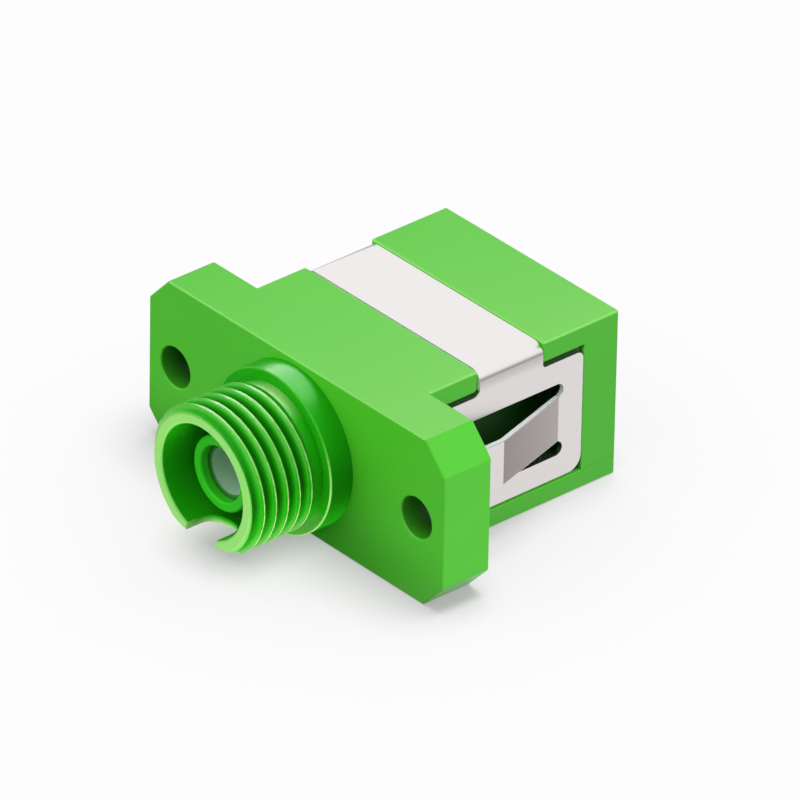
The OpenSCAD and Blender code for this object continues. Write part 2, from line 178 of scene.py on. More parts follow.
class Solid:
    """A closed shape in millimetres, which is cut, joined and bevelled and ends as a piece."""

    def __init__(self) -> None:
        """Starts an empty solid."""
        self.mesh = bmesh.new()

    @classmethod
    def prism(cls, outline: Sequence[Point], axis: Axis, start: float, end: float,
              flare: Point = (1.0, 1.0)) -> "Solid":
        """Extrudes a flat outline along an axis.

        Args:
            outline: The outline's points, in the two other axes.
            axis: The axis to run along.
            start: Place of the first end on that axis.
            end: Place of the other end.
            flare: How many times wider and higher the other end is.

        Returns:
            The new solid.
        """
        solid = cls()
        across, up, along = axis.value
        verts = []
        for u, v in outline:
            place = [0.0, 0.0, 0.0]
            place[across], place[up], place[along] = u, v, start
            verts.append(solid.mesh.verts.new(place))
        face = solid.mesh.faces.new(verts)
        new = bmesh.ops.extrude_face_region(solid.mesh, geom=[face])["geom"]
        for vert in (v for v in new if isinstance(v, bmesh.types.BMVert)):
            vert.co[across] *= flare[0]
            vert.co[up] *= flare[1]
            vert.co[along] = end
        return solid.faced_outwards()

    @classmethod
    def turned(cls, profile: Sequence[Point], steps: int = 96, sweep: float = 360.0,
               start: float = 0.0) -> "Solid":
        """Spins a closed profile about the Y axis.

        Args:
            profile: Points of radius and place along Y.
            steps: Number of steps in the sweep.
            sweep: Angle of the sweep in degrees. Under a full turn, both ends are closed.
            start: Angle at which the sweep starts, from +X towards +Z.

        Returns:
            The new solid.
        """
        solid = cls()
        mesh = solid.mesh
        lean = math.radians(start)
        verts = [mesh.verts.new((r * math.cos(lean), y, r * math.sin(lean))) for r, y in profile]
        full = math.isclose(sweep, 360.0)
        if full:
            edges = [mesh.edges.new((a, b)) for a, b in zip(verts, verts[1:] + verts[:1])]
            geom: list = verts + edges
        else:
            geom = [mesh.faces.new(verts)]
        bmesh.ops.spin(mesh, geom=geom, cent=(0, 0, 0), axis=(0, -1, 0), dvec=(0, 0, 0),
                       angle=math.radians(sweep), steps=steps, use_merge=full,
                       use_duplicate=False)
        bmesh.ops.remove_doubles(mesh, verts=mesh.verts[:], dist=1e-5)
        return solid.faced_outwards()

    @classmethod
    def bar(cls, radius: float, start: float, end: float, x: float = 0.0,
            steps: int = 64) -> "Solid":
        """Makes a round bar along Y.

        Args:
            radius: Its radius.
            start: Place of its front end.
            end: Place of its rear end.
            x: How far its axis is moved along X.
            steps: Number of its sides.

        Returns:
            The new solid.
        """
        solid = cls.turned([(0, start), (radius, start), (radius, end), (0, end)], steps)
        return solid.moved((x, 0, 0))

    def faced_outwards(self) -> "Solid":
        """Turns every face outwards."""
        bmesh.ops.recalc_face_normals(self.mesh, faces=self.mesh.faces[:])
        return self

    def moved(self, by: tuple[float, float, float]) -> "Solid":
        """Moves the solid."""
        bmesh.ops.translate(self.mesh, verts=self.mesh.verts[:], vec=by)
        return self

    def mirrored(self) -> "Solid":
        """Gives this solid's mirror image across the plane X = 0."""
        other = Solid()
        other.mesh = self.mesh.copy()
        bmesh.ops.scale(other.mesh, verts=other.mesh.verts[:], vec=(-1, 1, 1))
        return other.faced_outwards()

    def as_object(self, name: str) -> bpy.types.Object:
        """Gives the solid as an object of the scene, in the units that it has by now."""
        data = bpy.data.meshes.new(name)
        self.mesh.to_mesh(data)
        return linked(name, data)

    def combine(self, how: Join, others: Iterable["Solid"]) -> "Solid":
        """Adds, cuts or intersects with other solids, one after another.

        Args:
            how: What is done with each of them.
            others: The other solids, which are used up.

        Returns:
            This solid.
        """
        for other in others:
            body, tool = self.as_object("body"), other.as_object("tool")
            modifier = body.modifiers.new("combine", "BOOLEAN")
            modifier.operation = how.value
            modifier.solver = "EXACT"
            modifier.object = tool
            graph = bpy.context.evaluated_depsgraph_get()
            self.mesh.clear()
            self.mesh.from_object(body, graph)
            for thing in (body, tool):
                data = thing.data
                bpy.data.objects.remove(thing)
                bpy.data.meshes.remove(data)
            other.mesh.free()
        return self

    def cleaned(self, angle: float = 0.2) -> "Solid":
        """Merges double points and dissolves the edges inside flat faces."""
        bmesh.ops.remove_doubles(self.mesh, verts=self.mesh.verts[:], dist=1e-4)
        bmesh.ops.dissolve_limit(self.mesh, angle_limit=math.radians(angle),
                                 verts=self.mesh.verts[:], edges=self.mesh.edges[:])
        return self

    def bevelled(self, width: float, where: Callable[[Vector], bool] = lambda middle: True,
                 segments: int = 3, sharper_than: float = 28.0) -> "Solid":
        """Rounds the sharp outer edges.

        Args:
            width: How far each rounding reaches from its edge.
            where: Tells from an edge's middle whether it is rounded.
            segments: Number of chords in each rounding.
            sharper_than: Least angle between an edge's faces, in degrees.

        Returns:
            This solid.
        """
        least = math.radians(sharper_than)
        edges = [
            e for e in self.mesh.edges
            if e.is_manifold and e.is_convex and e.calc_face_angle(0) > least
            and where((e.verts[0].co + e.verts[1].co) / 2)
        ]
        bmesh.ops.bevel(self.mesh, geom=edges, offset=width, offset_type="OFFSET",
                        segments=segments, profile=0.5, affect="EDGES", clamp_overlap=True,
                        material=-1)
        return self

    def sliced(self, heights: Iterable[float]) -> "Solid":
        """Splits the faces at some heights, so that a painted shade can fade between them."""
        for height in heights:
            mesh = self.mesh
            bmesh.ops.bisect_plane(mesh, geom=mesh.verts[:] + mesh.edges[:] + mesh.faces[:],
                                   plane_co=(0, 0, height), plane_no=(0, 0, 1))
        return self

    def toned(self, tone: Callable[[Vector, Vector, Vector], float]) -> "Solid":
        """Stores each face corner's painted shade or painted highlight, for the finishes.

        Args:
            tone: Gives the painted tone, from -1 for a painted highlight to 1 for painted
            shade, from a corner, the middle of its face and the face's normal.

        Returns:
            This solid.
        """
        layer = self.mesh.loops.layers.float.new(TONE)
        self.mesh.normal_update()
        for face in self.mesh.faces:
            middle = face.calc_center_median()
            for loop in face.loops:
                loop[layer] = tone(loop.vert.co, middle, face.normal)
        return self

    def piece(self, name: str, finish: bpy.types.Material, slot: Slot, *nodes: str,
              smooth_under: float = 40.0) -> bpy.types.Object:
        """Ends the solid as a piece of the adapter, in metres.

        Args:
            name: The piece's name.
            finish: The material that covers it.
            slot: The record's slot that the finish belongs to. It is not used.
            nodes: The solids that it stands for.
            smooth_under: Edges flatter than this many degrees are shaded smooth.

        Returns:
            The piece, which rides on the adapter's one body.
        """
        bmesh.ops.scale(self.mesh, verts=self.mesh.verts[:], vec=(MM, MM, MM))
        thing = self.as_object(name)
        self.mesh.free()
        thing.data.shade_smooth()
        thing.data.set_sharp_from_angle(angle=math.radians(smooth_under))
        thing.data.materials.append(finish)
        weights = thing.modifiers.new("even_shading", "WEIGHTED_NORMAL")
        weights.mode = "FACE_AREA"
        weights.keep_sharp = True
        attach(thing, "root")
        if nodes:
            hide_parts(*nodes)
        log.info("%s: %d faces", name, len(thing.data.polygons))
        return thing


@dataclass(frozen=True)
class Value:
    """One number in a shader, whose arithmetic adds Math nodes."""

    graph: "Graph"
    socket: bpy.types.NodeSocket

    def _math(self, operation: str, first: "Value | float", second: "Value | float") -> "Value":
        """Adds one Math node and gives its result."""
        node = self.graph.node("ShaderNodeMath", {"operation": operation},
                               {0: first, 1: second})
        return Value(self.graph, node.outputs[0])

    def __add__(self, other: "Value | float") -> "Value":
        """Adds a number."""
        return self._math("ADD", self, other)

    def __sub__(self, other: "Value | float") -> "Value":
        """Takes a number away."""
        return self._math("SUBTRACT", self, other)

    def __rsub__(self, other: "Value | float") -> "Value":
        """Is taken away from a number."""
        return self._math("SUBTRACT", other, self)

    def __mul__(self, other: "Value | float") -> "Value":
        """Multiplies by a number."""
        return self._math("MULTIPLY", self, other)

    def held(self) -> "Value":
        """Keeps the number between 0 and 1."""
        node = self.graph.node("ShaderNodeClamp", {}, {"Value": self})
        return Value(self.graph, node.outputs[0])

    __radd__ = __add__
    __rmul__ = __mul__


class Graph:
    """A node tree that is built from values and links."""

    def __init__(self, tree: bpy.types.NodeTree) -> None:
        """Takes the tree of a material or of the world, and empties it."""
        self.tree = tree
        tree.nodes.clear()

    def node(self, kind: str, settings: dict | None = None,
             inputs: dict | None = None) -> bpy.types.Node:
        """Adds one node.

        Args:
            kind: The node's type.
            settings: Its own settings, such as a Math node's operation, set first.
            inputs: What each input gets: a value, a Value or an output socket.

        Returns:
            The node.
        """
        node = self.tree.nodes.new(kind)
        for key, setting in (settings or {}).items():
            setattr(node, key, setting)
        for key, given in (inputs or {}).items():
            socket = given.socket if isinstance(given, Value) else given
            if isinstance(socket, bpy.types.NodeSocket):
                self.tree.links.new(socket, node.inputs[key])
            else:
                node.inputs[key].default_value = socket
        return node

    def place(self) -> bpy.types.NodeSocket:
        """Gives the shaded point in the object's own metres."""
        return self.node("ShaderNodeTexCoord").outputs["Object"]

    def noise(self, per_mm: float, detail: float = 2.0,
              stretch: tuple[float, float, float] = (1.0, 1.0, 1.0)) -> Value:
        """Adds a noise pattern.

        Args:
            per_mm: How many grains there are to a millimetre.
            detail: How many finer octaves it has.
            stretch: How many times denser it is along each axis.

        Returns:
            The noise, from 0 to 1 with a middle of about 0.5.
        """
        mapping = self.node("ShaderNodeMapping", {}, {"Vector": self.place(), "Scale": stretch})
        node = self.node("ShaderNodeTexNoise", {}, {
            "Vector": mapping.outputs[0], "Scale": per_mm / MM, "Detail": detail})
        return Value(self, node.outputs["Fac"])

    def blend(self, first: "Colour | bpy.types.NodeSocket", second: Colour,
              share: Value) -> bpy.types.NodeSocket:
        """Blends two colours.

        Args:
            first: The colour at a share of 0.
            second: The colour at a share of 1.
            share: How much of the second shows.

        Returns:
            The blended colour.
        """
        start = (*first, 1.0) if isinstance(first, tuple) else first
        node = self.node("ShaderNodeMix", {"data_type": "RGBA", "clamp_factor": True},
                         {"Factor": share, "A": start, "B": (*second, 1.0)})
        return [out for out in node.outputs if out.type == "RGBA"][0]

    def tone(self) -> Value:
        """Reads the piece's painted shade, or its painted highlight where it is below zero."""
        node = self.node("ShaderNodeAttribute", {"attribute_name": TONE})
        return Value(self, node.outputs["Fac"])

    def bump(self, height: Value) -> bpy.types.NodeSocket:
        """Turns a height in millimetres into a bumped normal."""
        node = self.node("ShaderNodeBump", {}, {"Height": height, "Distance": MM})
        return node.outputs["Normal"]

    def ray(self, kind: str) -> Value:
        """Tells whether the ray that arrives is of a kind, such as Camera or Glossy."""
        return Value(self, self.node("ShaderNodeLightPath").outputs[f"Is {kind} Ray"])

    def principled(self, inputs: dict) -> None:
        """Adds the surface shader, with what each of its inputs gets, and its output."""
        shader = self.node("ShaderNodeBsdfPrincipled", {}, inputs)
        self.node("ShaderNodeOutputMaterial", {}, {"Surface": shader.outputs[0]})


def new_material(name: str) -> tuple[bpy.types.Material, Graph]:
    """Makes an empty material and the graph that fills it."""
    material = bpy.data.materials.new(name)
    material.use_nodes = True
    return material, Graph(material.node_tree)


@dataclass(frozen=True)
class MouldedPlastic:
    """Glossy engineering plastic as it leaves a polished mould."""

    name: str
    colour: Colour
    deep_colour: Colour
    roughness: float = 0.34
    specular: float = 0.5
    # The colours that the stored tone paints as shade and as highlights.
    shade_colour: Colour = (0.002, 0.055, 0.001)
    highlight_colour: Colour = (0.38, 0.78, 0.22)
    grain_mm: float = 0.0006
    smear_mm: float = 0.0003

    def material(self) -> bpy.types.Material:
        """Builds the finish: faint flow clouds, uneven gloss, a fine spark-eroded grain, and the
        stored painted shade and painted highlights.
        """
        material, graph = new_material(self.name)
        clouds = graph.noise(0.22, 3.0, (1.0, 0.6, 1.0))
        grain = graph.noise(14.0, 2.0)
        smears = graph.noise(1.6, 4.0, (0.5, 1.0, 1.0))
        surface = grain * self.grain_mm + smears * self.smear_mm
        tone = graph.tone()
        clean = graph.blend(self.colour, self.deep_colour, clouds * 1.6 - 0.3)
        # Painted highlights where the stored tone is below zero, painted shade where it is above.
        paled = graph.blend(clean, self.highlight_colour, tone * -1.0)
        graph.principled({
            "Base Color": graph.blend(paled, self.shade_colour, tone),
            "Roughness": smears * 0.12 + grain * 0.06 + (self.roughness - 0.09),
            "Specular IOR Level": self.specular,
            "Normal": graph.bump(surface),
        })
        return material


@dataclass(frozen=True)
class RolledSteel:
    """Stainless spring sheet with the fine lines of its rolling, matt cut edges that are also
    painted pale, and painted dark reflections.
    """

    name: str = "rolled_stainless_sheet"
    colour: Colour = (0.88, 0.855, 0.845)
    dull_colour: Colour = (0.85, 0.825, 0.815)
    # The colour of the painted dark reflections, and of the cut edges, which are matt and also
    # painted pale as light.
    shade_colour: Colour = (0.15, 0.11, 0.10)
    edge_colour: Colour = (0.93, 0.96, 0.95)
    roughness: float = 0.3

    def material(self) -> bpy.types.Material:
        """Builds the finish: rolling lines along the housing, faint uneven gloss, and the stored
        painted reflections and pale cut edges.
        """
        material, graph = new_material(self.name)
        lines = graph.noise(9.0, 3.0, (1.0, 0.04, 1.0))
        clouds = graph.noise(0.5, 2.0)
        tone = graph.tone()
        clean = graph.blend(self.colour, self.dull_colour, lines * 0.7 + clouds * 0.3)
        # Cut edges painted pale and matt where the stored tone is below zero; painted dark
        # reflections where it is above.
        paled = graph.blend(clean, self.edge_colour, tone * -1.0)
        graph.principled({
            "Base Color": graph.blend(paled, self.shade_colour, tone),
            "Metallic": (tone + 1.0).held(),
            "Roughness": lines * 0.06 + clouds * 0.08 + (self.roughness - 0.07),
            "Normal": graph.bump(lines * 0.00025),
        })
        return material


@dataclass(frozen=True)
class Zirconia:
    """Polished white ceramic, coloured green as painted light from the green housing around it.
    """

    name: str = "polished_zirconia"
    # Green-tinted: painted light from the green plastic around the sleeve.
    colour: Colour = (0.42, 0.66, 0.48)
    warm_colour: Colour = (0.38, 0.61, 0.43)
    # The colour of the painted shade on the sleeve's ends.
    shade_colour: Colour = (0.03, 0.16, 0.03)
    roughness: float = 0.3

    def material(self) -> bpy.types.Material:
        """Builds the finish: a fine ground texture, a faint warm cast, and the stored painted
        shade of the sleeve's ends.
        """
        material, graph = new_material(self.name)
        clouds = graph.noise(0.8, 2.0)
        lines = graph.noise(20.0, 2.0, (1.0, 0.1, 1.0))
        graph.principled({
            "Base Color": graph.blend(graph.blend(self.colour, self.warm_colour, clouds),
                                      self.shade_colour, graph.tone()),
            "Roughness": lines * 0.08 + (self.roughness - 0.04),
            "Specular IOR Level": 0.25,
            "Normal": graph.bump(lines * 0.0003),
        })
        return material


@dataclass(frozen=True)
class Finishes:
    """Every finish of the adapter, made once."""

    green: bpy.types.Material
    polished: bpy.types.Material
    tube: bpy.types.Material
    insert: bpy.types.Material
    steel: bpy.types.Material
    ceramic: bpy.types.Material

    @classmethod
    def mixed(cls) -> "Finishes":
        """Makes the six finishes."""
        return cls(
            green=MouldedPlastic("green_moulded_plastic", (0.075, 0.53, 0.022),
                                 (0.066, 0.50, 0.018), specular=0.38).material(),
            # The barrel's copy of the green is glossier, and darker and more saturated as painted
            # shade; its highlight colour paints the barrel's highlights.
            polished=MouldedPlastic("green_polished_plastic", (0.018, 0.43, 0.005),
                                    (0.012, 0.39, 0.004), highlight_colour=(0.60, 0.92, 0.34),
                                    roughness=0.27, specular=0.1,
                                    grain_mm=0.0006, smear_mm=0.0022).material(),
            tube=MouldedPlastic("tube_plastic", (0.030, 0.55, 0.012), (0.024, 0.51, 0.010),
                                roughness=0.3, specular=0.2).material(),
            # The insert is near black green as painted shade for the dark inside of the side
            # windows.
            insert=MouldedPlastic("insert_plastic", (0.012, 0.095, 0.005),
                                  (0.009, 0.075, 0.004), roughness=0.5,
                                  specular=0.2).material(),
            steel=RolledSteel().material(),
            ceramic=Zirconia().material(),
        )


@dataclass
class Socket:
    """The SC socket's room and the side windows, shared by both housings and the insert."""

    width: float = 9.1
    height: float = 7.5
    side_wall: float = 0.6
    top_wall: float = 0.4
    fit: float = 0.05
    window_start: float = 0.9
    window_end: float = 9.6
    window_h: float = 4.4
    window_r: float = 0.15

    @property
    def spigot(self) -> Point:
        """Width and height of the spigot around the socket."""
        return self.width + 2 * self.side_wall, self.height + 2 * self.top_wall

    def window_cut(self) -> Solid:
        """Gives the cut that opens both side windows."""
        start, end, z, r = self.window_start, self.window_end, self.window_h / 2, self.window_r
        outline = rounded([(start, -z, r), (end, -z, r), (end, z, r), (start, z, r)])
        return Solid.prism(outline, Axis.X, -REACH, REACH)


@dataclass
class Shell:
    """What both housings share: the outer section, its recess for the clip and its edges."""

    width: float
    height: float
    recess_low: float = -3.64
    recess_high: float = 3.5
    seat_x: float = 6.17
    seat_z: float = 4.3
    window_z: float = 2.2
    cut: float = 0.5
    # Painted tones: painted shade on the seats under the clip, the windows' walls, under the
    # rails and on the sides; painted highlights on the tops, paler towards +X, and on their
    # edges.
    seat_tone: float = 1.0
    top_tone: float = -0.17
    top_fade: float = 0.0135
    edge_tone: float = -0.4
    ceiling_tone: float = 0.9
    side_tone: float = 0.23

    def section(self) -> list[Point]:
        """Gives the section with both sides cut back between the rails, in X and Z."""
        x, z, seat = self.width / 2, self.height / 2, self.seat_x
        right = [(x, -z), (x, self.recess_low), (seat, self.recess_low),
                 (seat, self.recess_high), (x, self.recess_high), (x, z)]
        return right + [(-u, v) for u, v in reversed(right)]

    def saddle(self, edge_r: float) -> list[Point]:
        """Gives the section under the strap, where only the lower rails stand out.

        Args:
            edge_r: Radius of the saddle's upper edges.

        Returns:
            The outline in X and Z.
        """
        x, z = self.width / 2, self.height / 2
        right: list[Corner] = [(x, -z, 0), (x, self.recess_low, 0),
                               (self.seat_x, self.recess_low, 0),
                               (self.seat_x, self.seat_z, edge_r)]
        return rounded(right + [(-u, v, r) for u, v, r in reversed(right)])

    def tone(self, at: Vector, middle: Vector, normal: Vector) -> float:
        """Paints shade on the seats under the clip, the windows' walls, the rails' undersides and
        the sides, and paints highlights on the tops and their edges.

        Args:
            at: A corner of a face.
            middle: The face's middle.
            normal: The face's normal.

        Returns:
            The tone, from -1 to 1.
        """
        seated = abs(middle.x) < self.seat_x + NEAR
        on_block = abs(middle.x) < self.width / 2 + NEAR
        # Painted shade on the windows' walls.
        if abs(normal.z) > 0.9 and abs(abs(middle.z) - self.window_z) < NEAR:
            return self.seat_tone
        if abs(normal.y) > 0.9 and 4.4 < abs(middle.x) < self.seat_x and 0.5 < middle.y < 9.7:
            return self.seat_tone
        # Painted highlight on the tops, paler towards +X.
        if normal.z > 0.97:
            return self.top_tone - self.top_fade * at.x
        # Painted shade on the seats' upper edges, painted highlight on the tops' other edges.
        if normal.z > 0.2 and on_block and middle.z > 0:
            return self.seat_tone if seated and abs(normal.y) < 0.1 else self.edge_tone
        # Painted shade under the rails.
        if normal.z < -0.9 and abs(middle.z - self.recess_high) < NEAR and not seated:
            return self.ceiling_tone
        if abs(normal.x) < 0.9 or not on_block:
            return 0.0
        # Painted shade on the seats, and a lighter painted shade on the sides.
        return self.seat_tone if seated else self.side_tone

    def side_slabs(self, inner_x: float, start: float, end: float) -> list[Solid]:
        """Gives the cuts that take both sides back between the rails.

        Args:
            inner_x: How far from the middle the sides end up.
            start: Place of the cuts' front ends along Y.
            end: Place of their rear ends.

        Returns:
            The right-hand and the left-hand cut.
        """
        outer = self.width / 2 + self.cut
        outline = [(inner_x, self.recess_low), (outer, self.recess_low),
                   (outer, self.recess_high), (inner_x, self.recess_high)]
        right = Solid.prism(outline, Axis.Y, start, end)
        return [right, right.mirrored()]


@dataclass
class Thread:
    """The barrel's right-handed thread, M8 x 0.75."""

    crest_r: float = 3.92
    root_r: float = 3.5
    pitch: float = 0.75
    crest_share: float = 0.26
    root_share: float = 0.14
    softness: float = 0.45
    steps: int = 144
    samples: int = 18

    def height(self, turn: float) -> float:
        """Gives the thread's radius at a share of its pitch."""
        off = abs(turn - math.floor(turn) - 0.5) * 2
        flank = (off - self.crest_share) / (1 - self.crest_share - self.root_share)
        straight = min(max(flank, 0.0), 1.0)
        eased = smooth_step(straight)
        fall = straight + (eased - straight) * self.softness
        return self.crest_r + (self.root_r - self.crest_r) * fall

    def rod(self, start: float, end: float) -> Solid:
        """Spins a threaded rod whose ends are cut square.

        Args:
            start: Place of the front end along Y.
            end: Place of the rear end.

        Returns:
            The rod.
        """
        rod = Solid()
        mesh = rod.mesh
        first = start - 2 * self.pitch
        turns = math.ceil((end - first) / self.pitch) + 1
        count = turns * self.samples
        verts = [
            mesh.verts.new((self.height(i / self.samples), first + self.pitch * i / self.samples,
                            0.0)) for i in range(count + 1)]
        edges = [mesh.edges.new(pair) for pair in zip(verts, verts[1:])]
        bmesh.ops.spin(mesh, geom=verts + edges, cent=(0, 0, 0), axis=(0, -1, 0),
                       dvec=(0, -self.pitch / self.steps, 0), angle=math.tau, steps=self.steps,
                       use_merge=False, use_duplicate=False)
        bmesh.ops.remove_doubles(mesh, verts=mesh.verts[:], dist=1e-4)
        for place, side in ((start, -1), (end, 1)):
            bmesh.ops.bisect_plane(mesh, geom=mesh.verts[:] + mesh.edges[:] + mesh.faces[:],
                                   plane_co=(0, place, 0), plane_no=(0, side, 0),
                                   clear_outer=True)
        rims = [e for e in mesh.edges if e.is_boundary]
        bmesh.ops.edgeloop_fill(mesh, edges=rims)
        return rod.faced_outwards()


@dataclass
class FrontHousing:
    """Flange, threaded FC barrel and front block, moulded in one."""

    low: Vector
    high: Vector
    shell: Shell
    socket: Socket
    thread: Thread
    flange_t: float = 3.0
    corner: Point = (1.4, 1.5)
    hole_inset: float = 2.0
    hole_r: float = 1.1
    bore_r: float = 3.0
    collar_r: float = 4.35
    collar_l: float = 1.4
    neck_r: float = 3.75
    neck_l: float = 0.6
    rim_r: float = 3.57
    rim_l: float = 0.35
    floor_rise: float = 0.6
    floor_t: float = 1.0
    tube_r: float = 2.05
    key_w: float = 2.2
    key_l: float = 2.0
    key_flat_r: float = 3.38
    key_fade: Point = (18.0, 37.0)
    foot_r: float = 4.0
    rail_chamfer: float = 0.15
    round_r: float = 0.1
    collar_round: float = 0.08
    rim_round: float = 0.06
    rod_start: float = 0.5
    wave: float = 0.025
    # Painted tones: painted highlights on the key slot's walls and the rim, the angle in degrees
    # of the neck's painted highlight, the share of a pitch where the crests' painted highlight
    # lines lie, and the heights over which the flange's painted shade fades.
    key_tone: float = -0.7
    rim_tone: float = -0.42
    neck_glint: float = 82.0
    crest_edge: Point = (0.04, 0.2)
    fade_heights: tuple[float, ...] = (-1.0, -2.2, -3.4)

    def flange(self) -> Solid:
        """Gives the flange, an oblong with cut corners."""
        x, z = self.high.x, self.shell.height / 2
        cx, cz = self.corner
        right = [(x - cx, -z), (x, cz - z), (x, z - cz), (x - cx, z)]
        outline = right + [(-u, v) for u, v in reversed(right)]
        return Solid.prism(outline, Axis.Y, -self.flange_t, 0)

    @property
    def floor(self) -> float:
        """Place of the front of the barrel's floor."""
        return -self.flange_t - self.floor_rise

    def barrel(self) -> Solid:
        """Gives the collar, the runout groove and the threaded land."""
        front = self.low.y
        foot = -self.flange_t
        neck_front = foot - self.collar_l - self.neck_l
        soft, rim_soft = self.collar_round, self.rim_round
        inside = self.floor + self.floor_t - 0.02
        core = Solid.turned(
            [(0, neck_front - 0.3), (self.neck_r - 0.25, neck_front - 0.3),
             (self.neck_r, neck_front), (self.neck_r, foot - self.collar_l)]
            + arc((self.collar_r - soft, foot - self.collar_l + soft), soft, -90, 0)
            + [(self.collar_r, inside), (0, inside)])
        land = self.thread.crest_r + NEAR
        envelope = Solid.turned(
            [(0, front)] + arc((self.rim_r - rim_soft, front + rim_soft), rim_soft, -90, -30, 3)
            + [(land, front + self.rim_l), (land, neck_front - 0.12),
               (self.thread.root_r, neck_front + 0.1), (0, neck_front + 0.1)], 144)
        rod = self.thread.rod(front - self.rod_start, neck_front + 0.5)
        rod.combine(Join.KEEP_COMMON, [envelope])
        self.fade_by_key(rod)
        return core.combine(Join.ADD, [rod])

    def fade_by_key(self, rod: Solid) -> None:
        """Sinks the thread into a plain land beside the key slot, and wears its crests.

        Args:
            rod: The threaded rod, which is changed in place.
        """
        near, far = self.key_fade
        for vert in rod.mesh.verts:
            r = math.hypot(vert.co.x, vert.co.z)
            off = math.degrees(math.atan2(abs(vert.co.x), -vert.co.z))
            if r > self.key_flat_r:
                kept = smooth_step((off - near) / (far - near))
                unevenness = self.wave * abs(noise.noise(vert.co * 1.8)) if r > self.rim_r else 0.0
                scale = (self.key_flat_r + (r - self.key_flat_r - unevenness) * kept) / r
                vert.co.x *= scale
                vert.co.z *= scale

    def bore(self) -> Solid:
        """Gives the cut for the barrel's bore, with a rounded mouth."""
        front, soft = self.low.y, 0.15
        mouth = arc((self.bore_r + soft, front + soft), soft, -90, -180, 5)
        return Solid.turned([(0, front - 0.5), (self.bore_r + soft, front - 0.5)] + mouth
                            + [(self.bore_r, self.floor), (0, self.floor)], 144)

    def key_slot(self) -> Solid:
        """Gives the cut for the FC key, with a round inner end, through the bottom."""
        half = self.key_w / 2
        centre = self.low.y + self.key_l - half
        outline = [(half, self.low.y - 0.5)] + arc((0, centre), half, 0, 180, 16)
        return Solid.prism(outline + [(-half, self.low.y - 0.5)], Axis.Z, -6.0, 0.0)

    def build(self, finish: bpy.types.Material,
              polished: bpy.types.Material) -> bpy.types.Object:
        """Models the flange with its block, and the barrel, and dresses them.

        Args:
            finish: The plain green plastic.
            polished: The same plastic from the polished side of the mould, glossier and darker as
                painted shade.

        Returns:
            The barrel.
        """
        front_l = self.high.y
        shell, socket = self.shell, self.socket
        body = self.flange().combine(Join.ADD, [
            Solid.prism(shell.section(), Axis.Y, -self.flange_t / 2, front_l)])
        pocket_w, pocket_h = (size + 2 * socket.fit for size in socket.spigot)
        hole_x = self.high.x - self.hole_inset
        size = self.rail_chamfer
        chamfers = []
        for z in (shell.recess_low, shell.recess_high):
            diamond = [(front_l - size, z), (front_l, z - size), (front_l + size, z),
                       (front_l, z + size)]
            chamfer = Solid.prism(diamond, Axis.X, shell.seat_x, REACH)
            chamfers += [chamfer, chamfer.mirrored()]
        body.combine(Join.CUT, [
            Solid.prism(rectangle(pocket_w, pocket_h), Axis.Y, self.floor + self.floor_t, REACH),
            Solid.bar(self.hole_r, -REACH, 1.0, hole_x),
            Solid.bar(self.hole_r, -REACH, 1.0, -hole_x), socket.window_cut(), *chamfers])
        body.cleaned().bevelled(self.round_r, lambda m: m.y > -self.flange_t - NEAR
                                and not within(m, socket.spigot, 0.1))
        body.combine(Join.CUT, [Solid.bar(self.foot_r, -REACH, 0.0)])
        body.sliced(self.fade_heights).toned(self.body_tone)
        body.piece("front_housing_moulding", finish, Slot.GREEN, "front_housing")
        barrel = self.barrel().combine(Join.CUT, [
            self.bore(), Solid.bar(self.tube_r, self.floor - 0.5, REACH), self.key_slot()])
        barrel.cleaned(0.05).toned(self.barrel_tone)
        return barrel.piece("threaded_barrel", polished, Slot.GREEN, "front_housing",
                            smooth_under=35.0)

    def body_tone(self, at: Vector, middle: Vector, normal: Vector) -> float:
        """Paints shade in the screw holes, deeper towards the back, on the flange's front towards
        its foot, and on the clip's seats.

        Args:
            at: A corner of a face.
            middle: The face's middle.
            normal: The face's normal.

        Returns:
            The tone, from -1 to 1.
        """
        from_hole = math.hypot(abs(middle.x) - self.high.x + self.hole_inset, middle.z)
        # Painted shade in the screw holes, deeper towards the back.
        if from_hole < self.hole_r and abs(normal.y) < 0.5:
            return 1.7 + at.y / self.flange_t * 1.35
        # Painted shade on the flange's front, darker towards the bottom.
        if normal.y < -0.9 and middle.y < NEAR - self.flange_t:
            return 0.3 * smooth_step(-0.25 - at.z / 3.6)
        return self.shell.tone(at, middle, normal)

    def barrel_tone(self, at: Vector, middle: Vector, normal: Vector) -> float:
        """Paints the barrel's light and shade: painted shade in the grooves and depths, painted
        highlights on the edges.

        Args:
            at: A corner of a face.
            middle: The face's middle.
            normal: The face's normal.

        Returns:
            The tone, from -1 to 1.
        """
        r = math.hypot(at.x, at.z)
        rise = at.z / max(r, self.bore_r)
        below = smooth_step(0.2 - 1.2 * rise)
        beside = smooth_step(1 - 1.4 * abs(rise + 0.1))
        collar_front = -self.flange_t - self.collar_l
        depth = at.y - self.low.y
        # Painted shade in the bore, deeper inwards and towards the top.
        if r < self.bore_r + NEAR:
            return 0.6 * smooth_step(depth / 3.5) + 0.4 * smooth_step(at.z / self.bore_r)
        # Painted highlight on the key slot's walls.
        if abs(middle.x) < self.key_w / 2 + NEAR and middle.z < -2.5 and abs(normal.z) < 0.3:
            return self.key_tone
